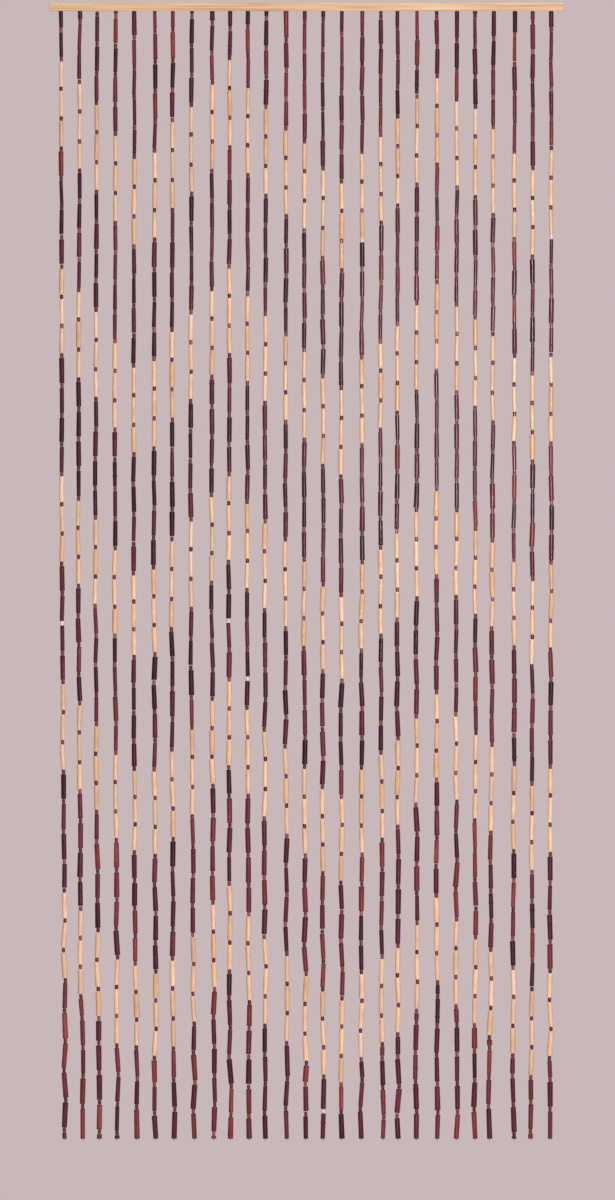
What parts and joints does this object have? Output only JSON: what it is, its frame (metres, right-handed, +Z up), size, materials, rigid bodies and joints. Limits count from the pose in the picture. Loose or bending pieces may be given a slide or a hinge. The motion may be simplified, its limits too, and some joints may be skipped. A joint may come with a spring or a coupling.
{
  "type": "bamboo door curtain",
  "caption": "Door curtain of hanging strands threaded with dark and pale bamboo tubes and small glossy beads, fused to a narrow heading strip, with a zigzag of pale runs.",
  "frame": {"origin": "middle of the heading strip's top edge, from which the curtain hangs", "axes": "+X to the right along the strip as seen from the front, +Y away from the viewer through the curtain, +Z up"},
  "size_m": [0.9, 0.012, 1.9941],
  "materials": {
    "dark_bamboo": "glossy lacquer",
    "pale_bamboo": "satin",
    "bead": "glossy",
    "string": "twisted",
    "heading_strip": "satin"
  },
  "bodies": {
    "root": {"curtain": "dark_bamboo"}
  },
  "joints": []
}
